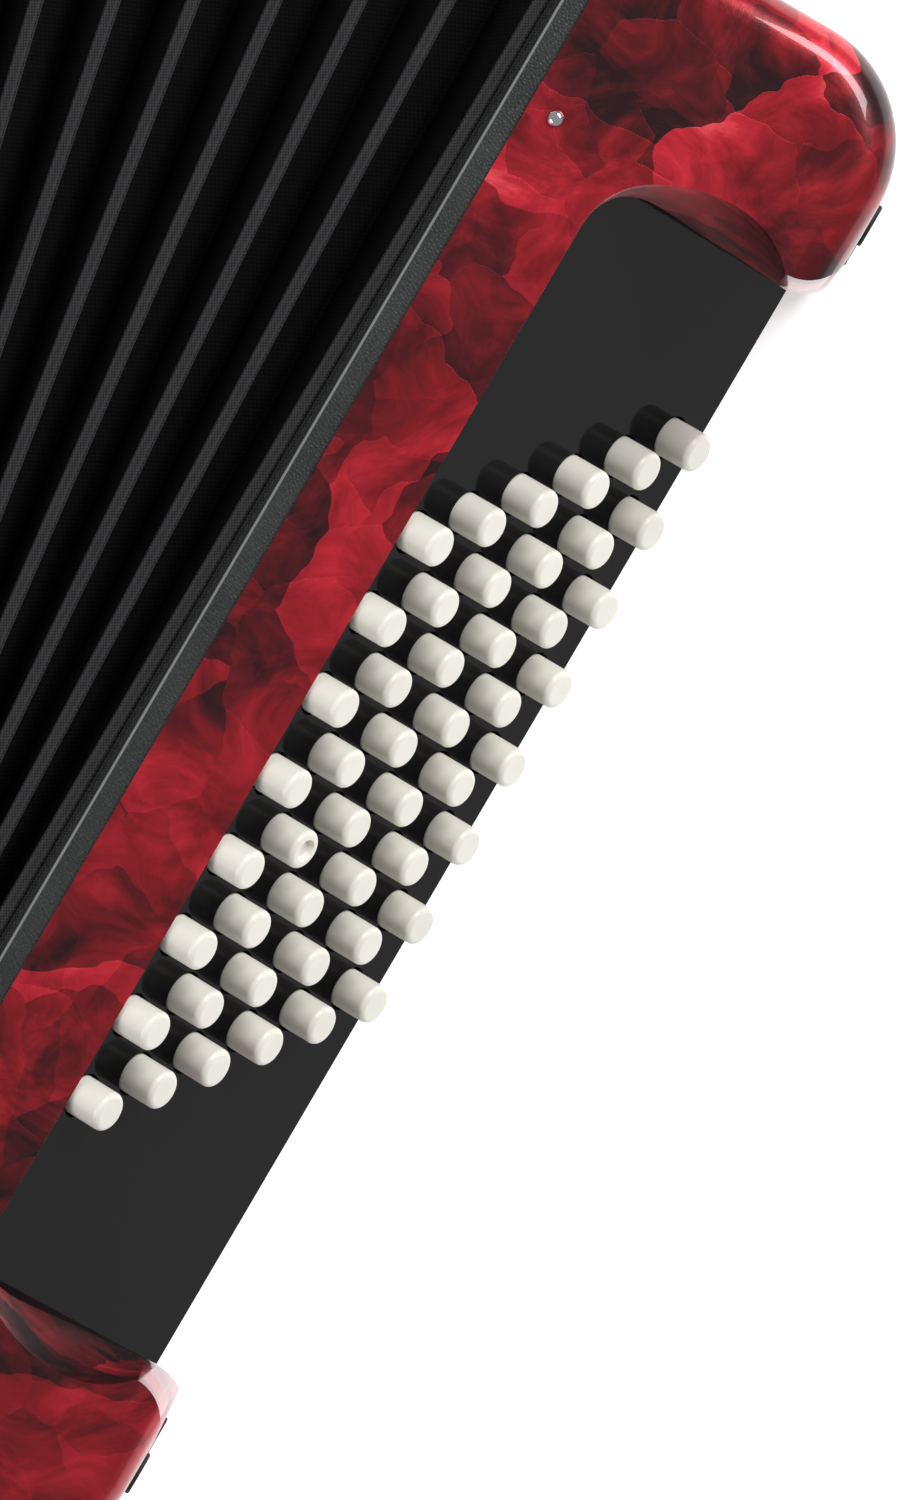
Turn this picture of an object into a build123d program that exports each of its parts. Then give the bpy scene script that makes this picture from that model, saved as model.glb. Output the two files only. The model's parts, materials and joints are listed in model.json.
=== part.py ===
from build123d import *
from math import cos, degrees, radians, sin
import os

# A button accordion lying on its back with its bellows fanned open.
# X runs from the treble side to the bass side, Y towards the top end, Z towards the audience.
# The origin is the middle of the whole object's box, on the floor.
# The treble side stands along Y. Each fold of the bellows turns the next one clockwise by the same angle,
# and the bass side hangs on the last fold. A part of the bass side is drawn in the bass side's own frame:
# x is outwards from its open face, y along the casing and z up. The treble side's own x is minus outwards.

os.makedirs("parts", exist_ok=True)

# ---- Driving dimensions, mm and degrees ----
CASE_LENGTH = 337.6
CASE_DEPTH = 168.0
BASS_WIDTH = 68.1
TREBLE_WIDTH = 80.0
WALL = 5.0
END_ROUND = 25.0
RIM_ROUND = 8.0

FAN_ANGLE = 30.4
FOLDS = 14
CLOSED_PITCH = 3.1
BELLOWS_INSET = 5.0
RIDGE_THICK = 2.6
RIDGE_DEEP = 5.0
PLEAT_DEEP = 24.0
PLEAT_THICK = 1.0
GUARD_THICK = 0.8
GUARD_LEG = 14.0
FRAME_WIDTH = 4.2
RIDGE_TO_CASE = 8.3

STRIP_WIDTH = 20.6
BOARD_TILT = 60.0
BOARD_WIDTH = 82.7
BOARD_LENGTH = 246.6
BOARD_THICK = 3.0
BOARD_SUNK = 1.0
COLUMNS = 8
BASS_ROWS = 6
COLUMN_PITCH = 18.0
BASS_ROW_PITCH = 13.5
FIRST_BASS_ROW = 5.0
FIRST_ROW_SHIFT = -18.75
ROW_SHIFT = 8.4
BASS_BUTTON_R = 4.1
BASS_BUTTON_PROUD = 7.7
BASS_HOLE_R = 4.75

TREBLE_ROWS = 3
TREBLE_PITCH = 18.0
TREBLE_ROW_PITCH = 15.6
TREBLE_BUTTON_R = 7.3
TREBLE_HOLE_R = 8.2
TREBLE_BUTTON_PROUD = 6.0
KEYBED_WIDTH = 62.0
KEYBED_LENGTH = 300.0
KEYBED_TOP = 104.0
KEYBED_BOTTOM = 66.0

CLEAR = 0.3
HALF_LENGTH = CASE_LENGTH / 2
MID_Z = CASE_DEPTH / 2
BELLOWS_LENGTH = CASE_LENGTH - 2 * BELLOWS_INSET
BELLOWS_DEPTH = CASE_DEPTH - 2 * BELLOWS_INSET
BELLOWS_CORNER = 6.0
FOLD_ANGLE = FAN_ANGLE / (FOLDS - 1)
BOARD_END = BOARD_LENGTH / 2
EYE_REACH = 12.2


# ---- Frames: the treble side, each fold, each hinge between two folds, and the bass side ----
def step(point, angle, outwards, along):
    """The point that is so far outwards and along from this one, in a frame turned clockwise by angle."""
    a = radians(angle)
    return (point[0] + outwards * cos(a) + along * sin(a), point[1] - outwards * sin(a) + along * cos(a))


def turned(point, angle):
    a = radians(angle)
    return Plane(origin=(point[0], point[1], 0), x_dir=(cos(a), -sin(a), 0), z_dir=(0, 0, 1))


def fan(treble_face):
    """The lowest points of the ridges and of the hinges between them, from the treble side's open face."""
    ridge_feet = [(treble_face[0] + RIDGE_TO_CASE, treble_face[1] - BELLOWS_LENGTH / 2)]
    hinge_feet = []
    for k in range(FOLDS - 1):
        hinge_feet.append(step(ridge_feet[-1], k * FOLD_ANGLE, CLOSED_PITCH / 2, 0))
        ridge_feet.append(step(hinge_feet[-1], (k + 1) * FOLD_ANGLE, CLOSED_PITCH / 2, 0))
    return ridge_feet, hinge_feet


def bass_face(treble_face):
    """The middle of the bass side's open face."""
    last_ridge = fan(treble_face)[0][-1]
    return step(last_ridge, FAN_ANGLE, RIDGE_TO_CASE, BELLOWS_LENGTH / 2)


def box_middle():
    """The middle of the whole object's box when the treble side's open face is at zero."""
    bass = bass_face((0, 0))
    round_out, round_along = BASS_WIDTH - END_ROUND, HALF_LENGTH - END_ROUND
    left = -TREBLE_WIDTH - KEYBED_WIDTH
    right = step(bass, FAN_ANGLE, round_out, round_along)[0] + END_ROUND
    low = step(bass, FAN_ANGLE, round_out, -round_along)[1] - END_ROUND
    high = HALF_LENGTH + EYE_REACH
    return (left + right) / 2, (low + high) / 2


middle = box_middle()
TREBLE_FACE = (-middle[0], -middle[1])
RIDGE_FEET, HINGE_FEET = fan(TREBLE_FACE)
TREBLE = turned(TREBLE_FACE, 0)
BASS = turned(bass_face(TREBLE_FACE), FAN_ANGLE)
FOLD_FRAMES = [
    turned(step(foot, k * FOLD_ANGLE, 0, BELLOWS_LENGTH / 2), k * FOLD_ANGLE)
    for k, foot in enumerate(RIDGE_FEET)
]
PLEAT_FRAMES = [
    turned(step(foot, (k + 0.5) * FOLD_ANGLE, 0, BELLOWS_LENGTH / 2), (k + 0.5) * FOLD_ANGLE)
    for k, foot in enumerate(HINGE_FEET)
]

# The sloping button board: x down the slope, y along the casing, z out of its face.
slope = radians(BOARD_TILT)
BOARD = Plane(
    origin=(STRIP_WIDTH, 0, CASE_DEPTH),
    x_dir=(cos(slope), 0, -sin(slope)),
    z_dir=(sin(slope), 0, cos(slope)),
)


def on_board(down, proud):
    """(x, z) of a point so far down the board's slope and proud of its plane, in the bass side's frame."""
    return (
        STRIP_WIDTH + down * cos(slope) + proud * sin(slope),
        CASE_DEPTH - down * sin(slope) + proud * cos(slope),
    )


def save(shape, name, frame=TREBLE):
    """Writes one finished piece, drawn in frame, as the node called name."""
    placed = shape.moved(frame.location)
    placed.label = name
    export_step(placed, f"parts/{name}.step")


def together(shapes):
    """Several loose pieces as one node."""
    with BuildPart() as group:
        add(shapes)
    return group.part


# ---- Bellows ----
def bellows_ring(outer_inset, inner_inset, start, thick):
    """A flat frame across the bellows, between two insets from its outline."""
    with BuildPart() as ring:
        with BuildSketch(Plane.YZ.offset(start)):
            with Locations((0, MID_Z)):
                RectangleRounded(
                    BELLOWS_LENGTH - 2 * outer_inset, BELLOWS_DEPTH - 2 * outer_inset, BELLOWS_CORNER
                )
                RectangleRounded(
                    BELLOWS_LENGTH - 2 * inner_inset,
                    BELLOWS_DEPTH - 2 * inner_inset,
                    BELLOWS_CORNER / 2,
                    mode=Mode.SUBTRACT,
                )
        extrude(amount=thick)
    return ring.part


def bellows_fold():
    """One fold's ridge with the four metal guards clinched to its corners, as one solid."""
    with BuildPart() as fold:
        add(bellows_ring(GUARD_THICK, RIDGE_DEEP, -RIDGE_THICK / 2, RIDGE_THICK))
        with BuildSketch(Plane.YZ.offset(-RIDGE_THICK / 2)):
            with Locations((0, MID_Z)):
                RectangleRounded(BELLOWS_LENGTH, BELLOWS_DEPTH, BELLOWS_CORNER)
                RectangleRounded(
                    BELLOWS_LENGTH - 2 * GUARD_THICK,
                    BELLOWS_DEPTH - 2 * GUARD_THICK,
                    BELLOWS_CORNER,
                    mode=Mode.SUBTRACT,
                )
                Rectangle(BELLOWS_LENGTH - 2 * GUARD_LEG, CASE_DEPTH, mode=Mode.SUBTRACT)
                Rectangle(CASE_LENGTH, BELLOWS_DEPTH - 2 * GUARD_LEG, mode=Mode.SUBTRACT)
        extrude(amount=RIDGE_THICK)
    return fold.part


one_fold = bellows_fold()
for number, fold_frame in enumerate(FOLD_FRAMES, start=1):
    save(one_fold, f"bellows_fold_{number:02d}", fold_frame)

one_pleat = bellows_ring(RIDGE_DEEP, PLEAT_DEEP, -PLEAT_THICK / 2, PLEAT_THICK)
save(together([one_pleat.moved(frame.location) for frame in PLEAT_FRAMES]), "bellows_pleats", Plane.XY)


def bellows_frame(outwards):
    """The wooden frame that joins the bellows to a casing, with a tongue that fits in the casing's mouth.
    outwards is 1 where the casing is on +x."""
    tongue = 9.0
    outline_inset = 1.0
    inside = BELLOWS_INSET + 5.0
    with BuildPart() as joint_frame:
        with BuildSketch(Plane.YZ):
            with Locations((0, MID_Z)):
                RectangleRounded(
                    CASE_LENGTH - 2 * outline_inset, CASE_DEPTH - 2 * outline_inset, BELLOWS_CORNER
                )
                Rectangle(CASE_LENGTH - 2 * inside, CASE_DEPTH - 2 * inside, mode=Mode.SUBTRACT)
        extrude(amount=-outwards * FRAME_WIDTH)
        with BuildSketch(Plane.YZ):
            with Locations((0, MID_Z)):
                Rectangle(CASE_LENGTH - 2 * WALL - 0.4, CASE_DEPTH - 2 * WALL - 0.4)
                Rectangle(CASE_LENGTH - 2 * inside, CASE_DEPTH - 2 * inside, mode=Mode.SUBTRACT)
        extrude(amount=outwards * tongue)
        add(pin_holes(outwards), mode=Mode.SUBTRACT)
    return joint_frame.part


# ---- Bellows pins, through each casing's wall into the bellows frame ----
PIN_X = 5.9
PIN_PLACES = 126.7
PIN_R = 0.9
PIN_HEAD_R = 1.65
PIN_HEAD_HIGH = 1.2
PIN_LONG = 8.0


def pin_holes(outwards):
    """The pins' holes, as rods to cut away, on the front and at both ends."""
    with BuildPart() as holes:
        with BuildSketch(Plane.XY.offset(CASE_DEPTH)):
            with Locations(*[(outwards * PIN_X, y) for y in (-PIN_PLACES, PIN_PLACES)]):
                Circle(PIN_R + 0.1)
        extrude(amount=-PIN_LONG - 0.3)
        for end in (-1, 1):
            with BuildSketch(Plane.XZ.offset(-end * HALF_LENGTH)):
                with Locations((outwards * PIN_X, MID_Z)):
                    Circle(PIN_R + 0.1)
            extrude(amount=end * (PIN_LONG + 0.3))
    return holes.part


def bellows_pins(outwards):
    """Domed pins, a shank and a rounded head, in the same places as the holes."""
    with BuildPart() as pin:
        with BuildSketch():
            Circle(PIN_HEAD_R)
        extrude(amount=PIN_HEAD_HIGH)
        fillet(pin.edges().group_by(Axis.Z)[-1], PIN_HEAD_HIGH * 0.9)
        with BuildSketch():
            Circle(PIN_R)
        extrude(amount=-PIN_LONG)
    front = [Location((outwards * PIN_X, y, CASE_DEPTH)) for y in (-PIN_PLACES, PIN_PLACES)]
    ends = [Location((outwards * PIN_X, end * HALF_LENGTH, MID_Z), (-end * 90, 0, 0)) for end in (-1, 1)]
    return together([pin.part.moved(place) for place in front + ends])


save(bellows_frame(1), "bass_bellows_frame", BASS)
save(bellows_frame(-1), "treble_bellows_frame")
save(bellows_pins(1), "bass_bellows_pins", BASS)
save(bellows_pins(-1), "treble_bellows_pins")

# ---- Bass casing ----
SEAT_DEPTH = 12.5
PARTITION_IN = 118.0
PARTITION_OUT = 138.0
COVER_LINE = ((59.4, 92.4), (45.0, 70.0), (40.0, 0.3))
COVER_THICK = 3.0
FLARE_R = 9.0
STRAP_WHEEL_X = 20.0
STRAP_WHEEL_Z = 45.0
STRAP_WHEEL_R = 9.0
BEYOND = 90.0
OVERCUT = 1.0
RELIEF_WIDE = 10.0
RELIEF_DEEP = 0.2
LEAN = 9.0
LEAN_FROM = 57.0


def recess_outline(bulge):
    """One end of the finger recess seen from the front, closed well outside the casing: from the strip,
    through bulge's points, to the board's corner, and out round the end's soft corner."""
    corner = (BASS_WIDTH - FLARE_R, BOARD_END)
    with BuildLine() as line:
        Spline((STRIP_WIDTH, bulge[0][1]), *bulge[1:], corner)
        arc_end = (BASS_WIDTH, BOARD_END + FLARE_R)
        RadiusArc(corner, arc_end, -FLARE_R)
        Polyline(
            arc_end, (BEYOND, BOARD_END + FLARE_R), (BEYOND, -1), (STRIP_WIDTH, -1), (STRIP_WIDTH, bulge[0][1])
        )
    return line


def scoop():
    """The room above the button board: a loft from the recess's front edge to a line that makes the end
    walls meet the board on a straight edge, kept above the board's face."""
    board_foot = on_board(BOARD_WIDTH, -BOARD_SUNK)[1] - OVERCUT
    front = ((STRIP_WIDTH, 110.0), (26.0, 123.5), (36.0, 128.6), (48.0, 129.5))
    back = ((STRIP_WIDTH, 108.0), (26.0, 114.0), (36.0, 114.6), (48.0, 120.0))
    with BuildPart() as room:
        for height, bulge in ((board_foot, back), (CASE_DEPTH + 0.5, front)):
            with BuildSketch(Plane.XY.offset(height)):
                add(recess_outline(bulge).line)
                make_face()
        loft(ruled=True)
        mirror(about=Plane.XZ)
        with BuildSketch(Plane.XZ):
            with BuildLine():
                Polyline(
                    on_board(-5, -BOARD_SUNK),
                    on_board(BOARD_WIDTH + 0.5, -BOARD_SUNK),
                    (BEYOND, 90),
                    (BEYOND, CASE_DEPTH + 1),
                    on_board(-5, -BOARD_SUNK),
                )
            make_face()
        extrude(amount=HALF_LENGTH, both=True, mode=Mode.INTERSECT)
    return room.part


def palm_room():
    """The room outside the palm cover, between the two rounded ends."""
    with BuildPart() as room:
        with BuildSketch(Plane.XY.offset(-1)):
            with BuildLine():
                Line((0, -1), (0, BOARD_END))
                Line((0, BOARD_END), (BASS_WIDTH - FLARE_R, BOARD_END))
                RadiusArc((BASS_WIDTH - FLARE_R, BOARD_END), (BASS_WIDTH, BOARD_END + FLARE_R), -FLARE_R)
                Polyline((BASS_WIDTH, BOARD_END + FLARE_R), (BEYOND, BOARD_END + FLARE_R), (BEYOND, -1), (0, -1))
            make_face()
        extrude(amount=CASE_DEPTH + 2)
        mirror(about=Plane.XZ)
        with BuildSketch(Plane.XZ):
            with BuildLine():
                top = on_board(BOARD_WIDTH, -BOARD_SUNK)
                Polyline(
                    top,
                    on_board(BOARD_WIDTH, -BOARD_SUNK - BOARD_THICK - 0.2),
                    (COVER_LINE[0][0] - 2.8, COVER_LINE[0][1] + 1.9),
                    (COVER_LINE[1][0] - 3.3, COVER_LINE[1][1] + 0.8),
                    (COVER_LINE[2][0] - 3.4, -2),
                    (BEYOND, -2),
                    (BEYOND, top[1]),
                    top,
                )
            make_face()
        extrude(amount=HALF_LENGTH, both=True, mode=Mode.INTERSECT)
    return room.part


with BuildPart() as bass_case:
    with BuildSketch() as outline:
        with Locations((BASS_WIDTH / 2, 0)):
            Rectangle(BASS_WIDTH, CASE_LENGTH)
        fillet(outline.vertices().group_by(Axis.X)[-1], END_ROUND)
    extrude(amount=CASE_DEPTH)
    rims = bass_case.edges().group_by(Axis.Z)[0] + bass_case.edges().group_by(Axis.Z)[-1]
    fillet([edge for edge in rims if edge.center().X > 1], RIM_ROUND)
    # The mouth, the middle of the casing and the two hollow ends.
    with BuildSketch(Plane.YZ):
        with Locations((0, MID_Z)):
            Rectangle(CASE_LENGTH - 2 * WALL, CASE_DEPTH - 2 * WALL)
    extrude(amount=SEAT_DEPTH, mode=Mode.SUBTRACT)
    with BuildSketch(Plane.YZ):
        with Locations((0, MID_Z)):
            Rectangle(2 * PARTITION_IN, CASE_DEPTH - 2 * WALL)
    extrude(amount=BEYOND, mode=Mode.SUBTRACT)
    end_hollow = HALF_LENGTH - WALL - PARTITION_OUT
    for end in (-1, 1):
        with BuildSketch(Plane.XY.offset(WALL)) as hollow:
            with Locations(((BASS_WIDTH - WALL) / 2, end * (PARTITION_OUT + end_hollow / 2))):
                Rectangle(BASS_WIDTH - WALL, end_hollow)
            far = sorted(hollow.vertices().group_by(Axis.X)[-1], key=lambda corner: abs(corner.Y))[-1]
            fillet(far, END_ROUND - WALL)
        extrude(amount=CASE_DEPTH - 2 * WALL, mode=Mode.SUBTRACT)
    # The board's seat, the finger recess and the palm recess.
    with BuildSketch(BOARD.offset(-BOARD_SUNK)):
        with Locations((BOARD_WIDTH / 2 + 1, 0)):
            Rectangle(BOARD_WIDTH + 2, BOARD_LENGTH + 0.4)
    extrude(amount=-BOARD_THICK - 0.2, mode=Mode.SUBTRACT)
    with BuildSketch(BOARD.offset(-BOARD_SUNK - BOARD_THICK)):
        with Locations((10.3, 0)):
            Rectangle(20, 2 * PARTITION_IN)
    extrude(amount=-14, mode=Mode.SUBTRACT)
    add(scoop(), mode=Mode.SUBTRACT)
    add(palm_room(), mode=Mode.SUBTRACT)
    # Below the board the recess's end walls lean away from it, outside the strap's brackets.
    lean_top = on_board(BOARD_WIDTH, -BOARD_SUNK)[1]
    for end in (-1, 1):
        with BuildSketch(Plane.YZ.offset(LEAN_FROM)):
            with BuildLine():
                Polyline(
                    (end * (BOARD_END - OVERCUT), lean_top),
                    (end * BOARD_END, lean_top),
                    (end * (BOARD_END + LEAN), -1),
                    (end * (BOARD_END - OVERCUT), -1),
                    close=True,
                )
            make_face()
        extrude(amount=BEYOND - LEAN_FROM, mode=Mode.SUBTRACT)
    # The strip's edge is cut back beside the first row, as far as the row's holes reach.
    with BuildSketch(BOARD):
        with Locations((FIRST_BASS_ROW - BASS_HOLE_R + RELIEF_WIDE / 2, FIRST_ROW_SHIFT)):
            Rectangle(RELIEF_WIDE, COLUMN_PITCH * (COLUMNS - 1) + 2 * BASS_HOLE_R)
    extrude(amount=-BOARD_SUNK - RELIEF_DEEP, mode=Mode.SUBTRACT)
    add(pin_holes(1), mode=Mode.SUBTRACT)
    # The strap wheel's window in the top end.
    with BuildSketch(Plane.XZ.offset(-HALF_LENGTH)):
        with Locations((STRAP_WHEEL_X, STRAP_WHEEL_Z)):
            Circle(STRAP_WHEEL_R + 0.5)
    extrude(amount=WALL + 0.5, mode=Mode.SUBTRACT)
save(bass_case.part, "bass_case", BASS)


# ---- Bass button board, buttons and mechanism ----
def bass_row(row):
    """Places of one row's buttons on the board, as (down the slope, along the casing)."""
    down = FIRST_BASS_ROW + row * BASS_ROW_PITCH
    middle_along = FIRST_ROW_SHIFT + row * ROW_SHIFT
    first = middle_along - COLUMN_PITCH * (COLUMNS - 1) / 2
    return [(down, first + column * COLUMN_PITCH) for column in range(COLUMNS)]


with BuildPart() as bass_button_board:
    with BuildSketch(BOARD.offset(-BOARD_SUNK)):
        with Locations((BOARD_WIDTH / 2, 0)):
            Rectangle(BOARD_WIDTH, BOARD_LENGTH)
        for row in range(BASS_ROWS):
            with Locations(*bass_row(row)):
                Circle(BASS_HOLE_R, mode=Mode.SUBTRACT)
    extrude(amount=-BOARD_THICK)
save(bass_button_board.part, "bass_button_board", BASS)

BUTTON_BELOW = 4.0
PISTON_R = 1.6
PISTON_LONG = 2.5
DIMPLE_R = 2.4
DIMPLE_DEEP = 1.2
MARKED_ROW, MARKED_COLUMN = 1, 3


def bass_buttons(row):
    """One row of buttons with their piston stems. The C button has a dimple to find it by touch."""
    with BuildPart() as buttons:
        with BuildSketch(BOARD.offset(-BOARD_SUNK + BASS_BUTTON_PROUD)):
            with Locations(*bass_row(row)):
                Circle(BASS_BUTTON_R)
        extrude(amount=-BASS_BUTTON_PROUD - BUTTON_BELOW)
        heads = buttons.edges().group_by(Axis(BOARD.origin, BOARD.z_dir))[-1]
        fillet(heads, 1.1)
        with BuildSketch(BOARD.offset(-BOARD_SUNK - BUTTON_BELOW)):
            with Locations(*bass_row(row)):
                Circle(PISTON_R)
        extrude(amount=-PISTON_LONG)
        if row == MARKED_ROW:
            with BuildSketch(BOARD.offset(-BOARD_SUNK + BASS_BUTTON_PROUD)):
                with Locations(bass_row(row)[MARKED_COLUMN]):
                    Circle(DIMPLE_R)
            extrude(amount=-DIMPLE_DEEP, taper=25, mode=Mode.SUBTRACT)
    return buttons.part


for row in range(BASS_ROWS):
    save(bass_buttons(row), f"bass_buttons_row_{row + 1}", BASS)

# The rods that the pistons turn, one for each note, in the room behind the board.
BASS_SOUNDBOARD_X = 9.7
BASS_SOUNDBOARD_THICK = 2.6
ROLLERS = 12
with BuildPart() as bass_roller_shafts:
    with BuildSketch(Plane.XZ.offset(-PARTITION_IN + CLEAR)):
        with Locations(*[(19.0, 14 + 9.5 * number) for number in range(ROLLERS)]):
            Circle(2.2)
    extrude(amount=2 * PARTITION_IN - 2 * CLEAR)
save(bass_roller_shafts.part, "bass_roller_shafts", BASS)

with BuildPart() as bass_soundboard:
    with BuildSketch(Plane.YZ.offset(BASS_SOUNDBOARD_X)):
        with Locations((0, MID_Z)):
            Rectangle(CASE_LENGTH - 2 * WALL - 0.4, CASE_DEPTH - 2 * WALL - 0.4)
            for height in (-30, 0, 30):
                with Locations((0, height)):
                    with GridLocations(18, 1, 12, 1):
                        Rectangle(12, 5, mode=Mode.SUBTRACT)
    extrude(amount=BASS_SOUNDBOARD_THICK)
save(bass_soundboard.part, "bass_soundboard", BASS)


def reed_blocks(x_foot, x_top, heights, long, thick, cells):
    """Wooden blocks that stand on the soundboard, each with a row of air cells right through."""
    with BuildPart() as blocks:
        with BuildSketch(Plane.YZ.offset(x_foot)):
            with Locations(*[(0, height) for height in heights]):
                Rectangle(long, thick)
        extrude(amount=x_top - x_foot)
        middle_x = (x_foot + x_top) / 2
        tall = abs(x_top - x_foot) - 6
        with BuildSketch(Plane.XY.offset(heights[0] - thick)):
            with Locations((middle_x, 0)):
                with GridLocations(1, long / cells, 1, cells):
                    Rectangle(tall, 9)
        extrude(amount=heights[-1] - heights[0] + 2 * thick, mode=Mode.SUBTRACT)
    return blocks.part


def reed_plates(x_foot, x_top, heights, long, thick, cells):
    """Aluminium plates over the air cells, on both faces of each block."""
    plate_thick = 0.9
    faces = [height + side * (thick / 2) for height in heights for side in (-1, 1)]
    with BuildPart() as plates:
        for face_height in faces:
            up = 1 if face_height in [height + thick / 2 for height in heights] else -1
            with BuildSketch(Plane.XY.offset(face_height)):
                with Locations(((x_foot + x_top) / 2, 0)):
                    with GridLocations(1, long / cells, 1, cells):
                        Rectangle(abs(x_top - x_foot) - 2, long / cells - 2)
            extrude(amount=up * plate_thick)
    return plates.part


bass_blocks = (BASS_SOUNDBOARD_X, -7.5, (MID_Z - 30, MID_Z, MID_Z + 30), 228, 12, 12)
save(reed_blocks(*bass_blocks), "bass_reed_blocks", BASS)
save(reed_plates(*bass_blocks), "bass_reed_plates", BASS)

# ---- Palm cover, strap, strap wheel, air button, feet and screws ----
AIR_BUTTON_Y = 104.0
AIR_BUTTON_R = 6.0
AIR_PROUD = 4.5
ramp_low, ramp_high = COVER_LINE[1], COVER_LINE[0]
ramp_long = ((ramp_high[0] - ramp_low[0]) ** 2 + (ramp_high[1] - ramp_low[1]) ** 2) ** 0.5
ramp_dir = ((ramp_high[0] - ramp_low[0]) / ramp_long, (ramp_high[1] - ramp_low[1]) / ramp_long)
RAMP = Plane(
    origin=((ramp_low[0] + ramp_high[0]) / 2, AIR_BUTTON_Y, (ramp_low[1] + ramp_high[1]) / 2),
    x_dir=(0, 1, 0),
    z_dir=(ramp_dir[1], 0, -ramp_dir[0]),
)
COVER_SCREWS = [(y, z) for y in (-100, 100) for z in (12, 60)]

with BuildPart() as bass_cover:
    with BuildSketch(Plane.XZ):
        with BuildLine():
            Polyline(
                *COVER_LINE,
                (COVER_LINE[2][0] - COVER_THICK, COVER_LINE[2][1]),
                (COVER_LINE[1][0] - COVER_THICK, COVER_LINE[1][1] + 0.7),
                (COVER_LINE[0][0] - 2.5, COVER_LINE[0][1] + 1.6),
                COVER_LINE[0],
            )
        make_face()
    extrude(amount=BOARD_END - CLEAR, both=True)
    with BuildSketch(RAMP.offset(1)):
        Circle(AIR_BUTTON_R + 0.4)
    extrude(amount=-8, mode=Mode.SUBTRACT)
    # Sound slots low on the palm plate.
    with BuildSketch(Plane.YZ.offset(30)):
        with Locations((0, 24), (0, 34), (0, 44)):
            with GridLocations(40, 1, 5, 1):
                SlotOverall(30, 4)
    extrude(amount=20, mode=Mode.SUBTRACT)
    with BuildSketch(Plane.YZ.offset(30)):
        with Locations(*COVER_SCREWS):
            Circle(1.5)
    extrude(amount=30, mode=Mode.SUBTRACT)
save(bass_cover.part, "bass_cover", BASS)

with BuildPart() as air_button:
    with BuildSketch(RAMP.offset(AIR_PROUD)):
        Circle(AIR_BUTTON_R)
    extrude(amount=-AIR_PROUD - 7)
    fillet(air_button.edges().group_by(Axis(RAMP.origin, RAMP.z_dir))[-1], 1.5)
save(air_button.part, "air_button", BASS)

STRAP_LOW, STRAP_HIGH = 8.0, 66.0
STRAP_THICK = 3.0
STRAP_EYE_X = 51.0
STRAP_EYE_Y = 116.0
STRAP_CREST_X = 60.5
STRAP_BAR_R = 2.4
STRAP_EYE_R = 2.7
STRAP_EYE_OUT = 5.0

with BuildPart() as bass_strap:
    with BuildSketch(Plane.XY.offset(STRAP_LOW)):
        with BuildLine():
            inner_end = STRAP_EYE_X + STRAP_EYE_R + 0.3
            outer_end = STRAP_EYE_X + STRAP_EYE_OUT
            ThreePointArc(
                (outer_end, -STRAP_EYE_Y), (STRAP_CREST_X, 0), (outer_end, STRAP_EYE_Y)
            )
            Line((outer_end, STRAP_EYE_Y), (inner_end, STRAP_EYE_Y))
            ThreePointArc(
                (inner_end, STRAP_EYE_Y), (STRAP_CREST_X - STRAP_THICK, 0), (inner_end, -STRAP_EYE_Y)
            )
            Line((inner_end, -STRAP_EYE_Y), (outer_end, -STRAP_EYE_Y))
        make_face()
        with Locations((STRAP_EYE_X, -STRAP_EYE_Y), (STRAP_EYE_X, STRAP_EYE_Y)):
            Circle(STRAP_EYE_OUT)
            Circle(STRAP_EYE_R, mode=Mode.SUBTRACT)
    extrude(amount=STRAP_HIGH - STRAP_LOW)
save(bass_strap.part, "bass_strap", BASS)


def strap_bracket(end):
    """A wall plate with two arms and the bar that the strap's eye turns on, at one end of the palm recess."""
    arm = 3.0
    with BuildPart() as bracket:
        with BuildSketch(Plane.XZ.offset(-end * (BOARD_END - 0.05))):
            with Locations((STRAP_EYE_X, (STRAP_LOW + STRAP_HIGH) / 2)):
                Rectangle(10, STRAP_HIGH - STRAP_LOW + 2 * arm + 2)
        extrude(amount=end * 1.5)
        for height in (STRAP_LOW - 1 - arm, STRAP_HIGH + 1):
            with BuildSketch(Plane.XY.offset(height)):
                with Locations((STRAP_EYE_X, end * (STRAP_EYE_Y + (BOARD_END - STRAP_EYE_Y) / 2))):
                    Rectangle(7, BOARD_END - STRAP_EYE_Y - 0.1)
                with Locations((STRAP_EYE_X, end * STRAP_EYE_Y)):
                    Circle(3.5)
            extrude(amount=arm)
        with BuildSketch(Plane.XY.offset(STRAP_LOW - 2)):
            with Locations((STRAP_EYE_X, end * STRAP_EYE_Y)):
                Circle(STRAP_BAR_R)
        extrude(amount=STRAP_HIGH - STRAP_LOW + 4)
    return bracket.part


save(together([strap_bracket(-1), strap_bracket(1)]), "bass_strap_brackets", BASS)

WHEEL_TEETH = 24
with BuildPart() as strap_wheel:
    with BuildSketch(Plane.XZ.offset(-HALF_LENGTH - 3)):
        with Locations((STRAP_WHEEL_X, STRAP_WHEEL_Z)):
            Circle(STRAP_WHEEL_R)
            with PolarLocations(STRAP_WHEEL_R, WHEEL_TEETH):
                Circle(0.6, mode=Mode.SUBTRACT)
    extrude(amount=7)
    with BuildSketch(Plane.XZ.offset(-HALF_LENGTH + 4)):
        with Locations((STRAP_WHEEL_X, STRAP_WHEEL_Z)):
            Circle(2.5)
    extrude(amount=24)
save(strap_wheel.part, "strap_wheel", BASS)

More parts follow.
